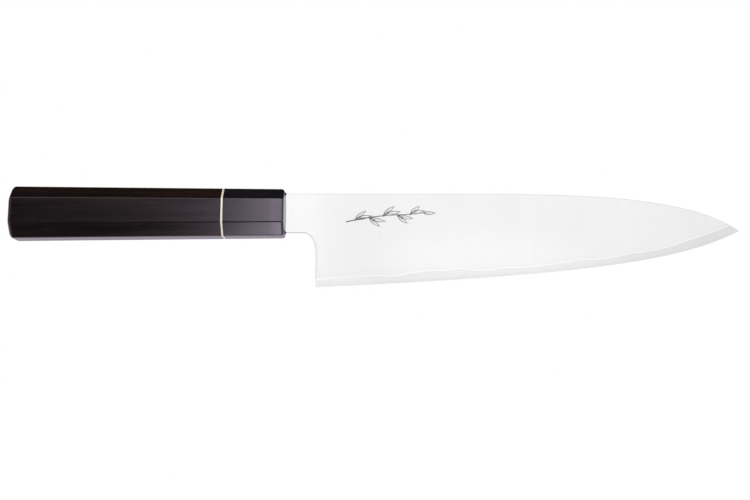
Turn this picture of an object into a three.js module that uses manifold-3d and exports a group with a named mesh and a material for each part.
// A laminated chef's knife with an octagonal wooden handle, lying on its right side.
//
// The knife is drawn in its own frame, in millimetres: x = 0 is the front face of the
// ferrule and x grows towards the tip, y = 0 is the handle's axis and y grows towards
// the spine, z = 0 is the middle plane of the blade. At the end of the file one group
// moves it so that the origin is the middle of the box's underside.
import * as THREE from "three";
import { mergeVertices } from "three/addons/utils/BufferGeometryUtils.js";
import Module from "manifold-3d";

const wasm = await Module();
wasm.setup();

// ---------------------------------------------------------------- driving dimensions

// Blade outline
const BLADE_LENGTH = 211; // heel to tip
const NECK_LENGTH = 15.5; // ferrule to heel
const SPINE_Y = 9.95;
const NECK_BELLY_Y = -9.6;
const HEEL_Y = -37;
const TIP_Y = -8.7;
const STRAIGHT_SPINE = 95.3; // from the ferrule to where the spine starts to drop
const TIP_X = NECK_LENGTH + BLADE_LENGTH;
const SPINE_PULLS = [[159.3, SPINE_Y], [203.4, 7.3]]; // Bezier handles of the spine's drop
const EDGE_PULLS = [[169.7, -30], [201, -21]]; // and of the cutting edge
const CHOIL_START = [8.9, NECK_BELLY_Y]; // rounded corner between the neck and the heel
const CHOIL_PULLS = [[11.85, NECK_BELLY_Y], [15.6, -12]];
const CHOIL_END = [15.6, -21.8];
const CURVE_STEPS = 28;

// Blade thickness
const CORE_HALF = 0.25;
const EDGE_HALF = 0.05; // the edge is a strip 0.1 mm wide
const BEVEL_SLOPE = 0.062; // half thickness gained per mm above the edge
const CLADDING_REACH = 2; // half thickness of the blank that the cladding is ground from
const SIDE_HEIGHT = 0.42; // half thickness of the flat side at its datum point
const SIDE_DATUM = { x: NECK_LENGTH, y: -31 };
const SIDE_SLOPE_UP = 0.01655; // half thickness gained per mm towards the spine
const SIDE_SLOPE_ALONG = -0.0014; // half thickness lost per mm towards the tip

// Tang
const TANG_LENGTH = 95;
const TANG_ROOT_HALF = 4.5;
const TANG_END_HALF = 2;
const TANG_HALF_THICKNESS = 0.8;
const TANG_LAP = 0.2; // how far the tang reaches into the neck, which it is one piece with

// Handle
const HANDLE_LENGTH = 136;
const FERRULE_LENGTH = 30;
const RING_LENGTH = 0.9;
const HALF_THICKNESS = 9.75;
const BUTT_OCTAGON = { x: -HANDLE_LENGTH, halfHeight: 13.08, topFlat: 4.8, sideFlat: 6.4 };
const FRONT_OCTAGON = { x: 0, halfHeight: 11.72, topFlat: 4.56, sideFlat: 5.73 };
const BUTT_ROUNDING = 1.9;
const FERRULE_ROUNDING = 1.5;
const ROUNDING_STEPS = 4;

// Inside the handle
const DOWEL_RADIUS = 6;
const DOWEL_FRONT = -4.3; // behind the ferrule's front wall
const DOWEL_BACK = -108;
const DOWEL_SIDES = 32;
const GLUE_GAP = 0.3; // between the dowel and its bore, and at the dowel's ends
const SLOT_CLEARANCE = 1; // from the tang's edges to the slot's
const SLOT_HALF_THICKNESS = 1.2;
const FIT_GAP = 0.3; // between the adhesive or the seal and the metal that it holds
const NECK_HALF_THICKNESS = 1.12; // at the ferrule, where the neck is thickest
const SEAL_WIDTH = 0.8;
const SEAL_PROUD = 0.5;

// Where the hard core shows: height of the lamination line above the edge, at each x
const LAMINATION_WAVE = [
  [NECK_LENGTH, 3.6], [29, 4.2], [46, 4.3], [54, 3.4], [62, 4.4], [73, 5.2], [79, 4.8],
  [87, 5.3], [94, 3.9], [102, 3.5], [109, 3.9], [117, 3.4], [131, 3.6], [140, 3.9],
  [147, 4.5], [156, 3.5], [165, 3.6], [173, 4.3], [178, 3.7], [190, 3.9], [204, 4.9],
  [221, 4.8],
];
const WAVE_STEPS = 66;

const RING_FRONT = -FERRULE_LENGTH;
const RING_BACK = RING_FRONT - RING_LENGTH;
const BORE_RADIUS = DOWEL_RADIUS + GLUE_GAP;

// ---------------------------------------------------------------- solids and booleans

// A closed geometry as a manifold-3d solid.
function solid(geometry) {
  const bare = geometry.clone();
  bare.deleteAttribute("normal");
  bare.deleteAttribute("uv");
  const merged = mergeVertices(bare, 1e-4);
  return new wasm.Manifold(
    new wasm.Mesh({
      numProp: 3,
      vertProperties: new Float32Array(merged.attributes.position.array),
      triVerts: new Uint32Array(merged.index.array),
    }),
  );
}

// A manifold-3d solid as a geometry.
function geometryOf(made) {
  const mesh = made.getMesh();
  const geometry = new THREE.BufferGeometry();
  geometry.setAttribute("position", new THREE.BufferAttribute(mesh.vertProperties, 3));
  geometry.setIndex(new THREE.BufferAttribute(mesh.triVerts, 1));
  geometry.computeVertexNormals();
  return geometry;
}

// A plate cut to an outline in x and y, from one z to another.
function plate(shape, fromZ, toZ) {
  const geometry = new THREE.ExtrudeGeometry(shape, {
    depth: toZ - fromZ,
    bevelEnabled: false,
    curveSegments: CURVE_STEPS,
  });
  return solid(geometry.translate(0, 0, fromZ));
}

// A closed skin over cross-sections that lie across x. Each section is {x, ring}, and
// its ring of [y, z] points runs anticlockwise seen from the tip.
function loft(sections) {
  const count = sections[0].ring.length;
  const positions = sections.flatMap(({ x, ring }) => ring.flatMap(([y, z]) => [x, y, z]));
  const indices = [];
  for (let s = 0; s < sections.length - 1; s++) {
    for (let i = 0; i < count; i++) {
      const next = (i + 1) % count;
      const [a, b] = [s * count + i, s * count + next];
      indices.push(a, b, b + count, a, b + count, a + count);
    }
  }
  const last = (sections.length - 1) * count;
  for (let i = 1; i < count - 1; i++) {
    indices.push(0, i + 1, i);
    indices.push(last, last + i, last + i + 1);
  }
  const geometry = new THREE.BufferGeometry();
  geometry.setAttribute("position", new THREE.Float32BufferAttribute(positions, 3));
  geometry.setIndex(indices);
  return geometry;
}

// A round bar along x.
function bar(radius, fromX, toX) {
  const geometry = new THREE.CylinderGeometry(radius, radius, toX - fromX, DOWEL_SIDES);
  geometry.rotateZ(-Math.PI / 2);
  return solid(geometry.translate((fromX + toX) / 2, 0, 0));
}

// ---------------------------------------------------------------- blade

// A cubic Bezier curve from one [x, y] to another.
function bezier(from, pulls, to) {
  const corners = [from, ...pulls, to].map(([x, y]) => new THREE.Vector2(x, y));
  return new THREE.CubicBezierCurve(...corners);
}

const spineCurve = bezier([STRAIGHT_SPINE, SPINE_Y], SPINE_PULLS, [TIP_X, TIP_Y]);
const edgeCurve = bezier([NECK_LENGTH, HEEL_Y], EDGE_PULLS, [TIP_X, TIP_Y]);
const choilCurve = bezier(CHOIL_START, CHOIL_PULLS, CHOIL_END);

// The y of a curve at a given x, by halving, for a curve whose x always grows.
function heightAt(curve, x) {
  const halvings = 40;
  let [low, high] = [0, 1];
  for (let i = 0; i < halvings; i++) {
    const middle = (low + high) / 2;
    if (curve.getPoint(middle).x < x) low = middle;
    else high = middle;
  }
  return curve.getPoint(low).y;
}

// The lamination line as points from heel to tip, ending just under the spine.
function laminationLine() {
  const shy = 0.1;
  const wave = new THREE.SplineCurve(LAMINATION_WAVE.map(([x, h]) => new THREE.Vector2(x, h)));
  return wave
    .getPoints(WAVE_STEPS)
    .map(({ x, y }) => new THREE.Vector2(x, heightAt(edgeCurve, x) + y))
    .filter(({ x, y }) => x < STRAIGHT_SPINE || y < heightAt(spineCurve, x) - shy);
}

// The blade's outline over a lower boundary, given as points from heel to tip: up the
// choil, back round the neck to the ferrule, and forward along the spine.
function bladeOutline(boundary) {
  const end = boundary.at(-1);
  const choil = choilCurve.getPoints(CURVE_STEPS / 2).reverse();
  const spine = spineCurve.getPoints(CURVE_STEPS).filter(({ x }) => x < end.x);
  return new THREE.Shape([
    boundary[0],
    ...choil,
    new THREE.Vector2(0, NECK_BELLY_Y),
    new THREE.Vector2(0, SPINE_Y),
    ...spine,
    ...boundary.slice(1).reverse(),
  ]);
}

// The tang's outline, grown by a clearance in y and at its end.
function tangOutline(clearance = 0) {
  const root = TANG_ROOT_HALF + clearance;
  const end = TANG_END_HALF + clearance;
  const shape = new THREE.Shape();
  const arcCentre = TANG_END_HALF - TANG_LENGTH;
  shape.moveTo(TANG_LAP, root);
  shape.lineTo(arcCentre, end);
  shape.absarc(arcCentre, 0, end, Math.PI / 2, (3 * Math.PI) / 2, false);
  shape.lineTo(TANG_LAP, -root);
  shape.closePath();
  return shape;
}

// The space between the two bevels that meet at the edge.
function bevelWedge() {
  const rise = 60;
  const below = 1;
  const top = EDGE_HALF + BEVEL_SLOPE * rise;
  const section = (x, edgeY) => ({
    x,
    ring: [
      [edgeY - below, -EDGE_HALF],
      [edgeY, -EDGE_HALF],
      [edgeY + rise, -top],
      [edgeY + rise, top],
      [edgeY, EDGE_HALF],
      [edgeY - below, EDGE_HALF],
    ],
  });
  const edge = edgeCurve.getPoints(CURVE_STEPS);
  return solid(
    loft([
      section(-TANG_LENGTH - 1, HEEL_Y),
      ...edge.map(({ x, y }) => section(x, y)),
      section(TIP_X + 1, TIP_Y),
    ]),
  );
}

// Everything under the flat left side of the blade.
function underFlatSide() {
  const half = (x, y) =>
    SIDE_HEIGHT + SIDE_SLOPE_UP * (y - SIDE_DATUM.y) + SIDE_SLOPE_ALONG * (x - SIDE_DATUM.x);
  const [low, high, floor] = [-40, 20, -5];
  const section = (x) => ({
    x,
    ring: [[low, floor], [high, floor], [high, half(x, high)], [low, half(x, low)]],
  });
  return solid(loft([section(-TANG_LENGTH), section(TIP_X + 1)]));
}

function makeCore() {
  const outline = bladeOutline(edgeCurve.getPoints(2 * CURVE_STEPS));
  const blade = plate(outline, -CORE_HALF, CORE_HALF);
  const tang = plate(tangOutline(), -CORE_HALF, CORE_HALF);
  return geometryOf(blade.intersect(bevelWedge()).add(tang));
}

function makeCladding() {
  const blade = plate(bladeOutline(laminationLine()), CORE_HALF, CLADDING_REACH);
  const tang = plate(tangOutline(), CORE_HALF, TANG_HALF_THICKNESS);
  return geometryOf(blade.intersect(bevelWedge()).intersect(underFlatSide()).add(tang));
}

// ---------------------------------------------------------------- handle

// The handle's octagonal section at x, with every face moved in by an inset.
function octagon(x, inset = 0) {
  const share = (x - BUTT_OCTAGON.x) / (FRONT_OCTAGON.x - BUTT_OCTAGON.x);
  const mix = (key) => THREE.MathUtils.lerp(BUTT_OCTAGON[key], FRONT_OCTAGON[key], share);
  const height = mix("halfHeight") - inset;
  const width = HALF_THICKNESS - inset;
  const top = mix("topFlat") - inset / 2;
  const side = mix("sideFlat") - inset / 2;
  return {
    x,
    ring: [
      [height, -top], [height, top], [side, width], [-side, width],
      [-height, top], [-height, -top], [-side, -width], [side, -width],
    ],
  };
}

// Sections that round the end at endX; inwards is the sign of x into the handle.
function roundedEnd(endX, inwards, radius) {
  return Array.from({ length: ROUNDING_STEPS + 1 }, (_, i) => {
    const angle = (i / ROUNDING_STEPS) * (Math.PI / 2);
    return octagon(endX + inwards * radius * (1 - Math.sin(angle)), radius * (1 - Math.cos(angle)));
  });
}

function makeHandleBody() {
  const butt = roundedEnd(-HANDLE_LENGTH, 1, BUTT_ROUNDING).reverse();
  const body = solid(loft([...butt, octagon(RING_BACK)]));
  return geometryOf(body.subtract(bar(BORE_RADIUS, DOWEL_BACK - GLUE_GAP, 0)));
}

function makeSpacerRing() {
  const ring = solid(loft([octagon(RING_BACK), octagon(RING_FRONT)]));
  return geometryOf(ring.subtract(bar(BORE_RADIUS, -HANDLE_LENGTH, 0)));
}

// The slot for the tang, cut through the ferrule's front wall and along the dowel.
function tangSlot() {
  return plate(tangOutline(SLOT_CLEARANCE), -SLOT_HALF_THICKNESS, SLOT_HALF_THICKNESS);
}

function makeFerrule() {
  const block = solid(loft([octagon(RING_FRONT), ...roundedEnd(0, -1, FERRULE_ROUNDING)]));
  const bore = bar(BORE_RADIUS, -HANDLE_LENGTH, DOWEL_FRONT + GLUE_GAP);
  return geometryOf(block.subtract(bore).subtract(tangSlot()));
}

function makeDowel() {
  const dowel = bar(DOWEL_RADIUS, DOWEL_BACK, DOWEL_FRONT);
  return geometryOf(dowel.subtract(tangSlot()));
}

// The adhesive fills the dowel's slot and leaves the tang's own shape inside.
function makeAdhesive() {
  const outline = tangOutline(SLOT_CLEARANCE - FIT_GAP);
  const filling = plate(outline, -SLOT_HALF_THICKNESS, SLOT_HALF_THICKNESS);
  const tang = plate(tangOutline(FIT_GAP), -TANG_HALF_THICKNESS, TANG_HALF_THICKNESS);
  const inDowel = bar(2 * DOWEL_RADIUS, DOWEL_BACK, DOWEL_FRONT);
  return geometryOf(filling.intersect(inDowel).subtract(tang));
}

// The neck's root as a block on the ferrule's face, grown all round.
function neckBlock(growth) {
  const height = SPINE_Y - NECK_BELLY_Y + 2 * growth;
  const thickness = 2 * (NECK_HALF_THICKNESS + growth);
  const block = new THREE.BoxGeometry(SEAL_PROUD, height, thickness);
  return solid(block.translate(SEAL_PROUD / 2, (SPINE_Y + NECK_BELLY_Y) / 2, 0));
}

// A collar of resin round the root of the neck, standing on the ferrule's face.
function makeMouthSeal() {
  return geometryOf(neckBlock(SEAL_WIDTH).subtract(neckBlock(FIT_GAP)));
}

// ---------------------------------------------------------------- assembly

function piece(name, geometry, color, roughness, metalness) {
  const material = new THREE.MeshStandardMaterial({ color, roughness, metalness });
  const mesh = new THREE.Mesh(geometry, material);
  mesh.name = name;
  return mesh;
}

const cladding = makeCladding();
const claddingRight = piece("cladding_right", cladding, 0xe9e9e9, 0.38, 1);
claddingRight.scale.z = -1;

const knife = new THREE.Group();
knife.add(
  piece("core_steel", makeCore(), 0xd6d6d6, 0.3, 1),
  piece("cladding_left", cladding, 0xe9e9e9, 0.38, 1),
  claddingRight,
  piece("handle_body", makeHandleBody(), 0x1d1413, 0.35, 0),
  piece("spacer_ring", makeSpacerRing(), 0xf3e7d6, 0.5, 0),
  piece("ferrule", makeFerrule(), 0x19171a, 0.2, 0),
  piece("core_dowel", makeDowel(), 0xc9a877, 0.8, 0),
  piece("tang_adhesive", makeAdhesive(), 0x8c7a5c, 0.5, 0),
  piece("mouth_seal", makeMouthSeal(), 0x121012, 0.4, 0),
);
knife.position.set(
  (HANDLE_LENGTH - TIP_X) / 2,
  -(HEEL_Y + BUTT_OCTAGON.halfHeight) / 2,
  HALF_THICKNESS,
);

const part = new THREE.Group();
part.add(knife);
export default part;
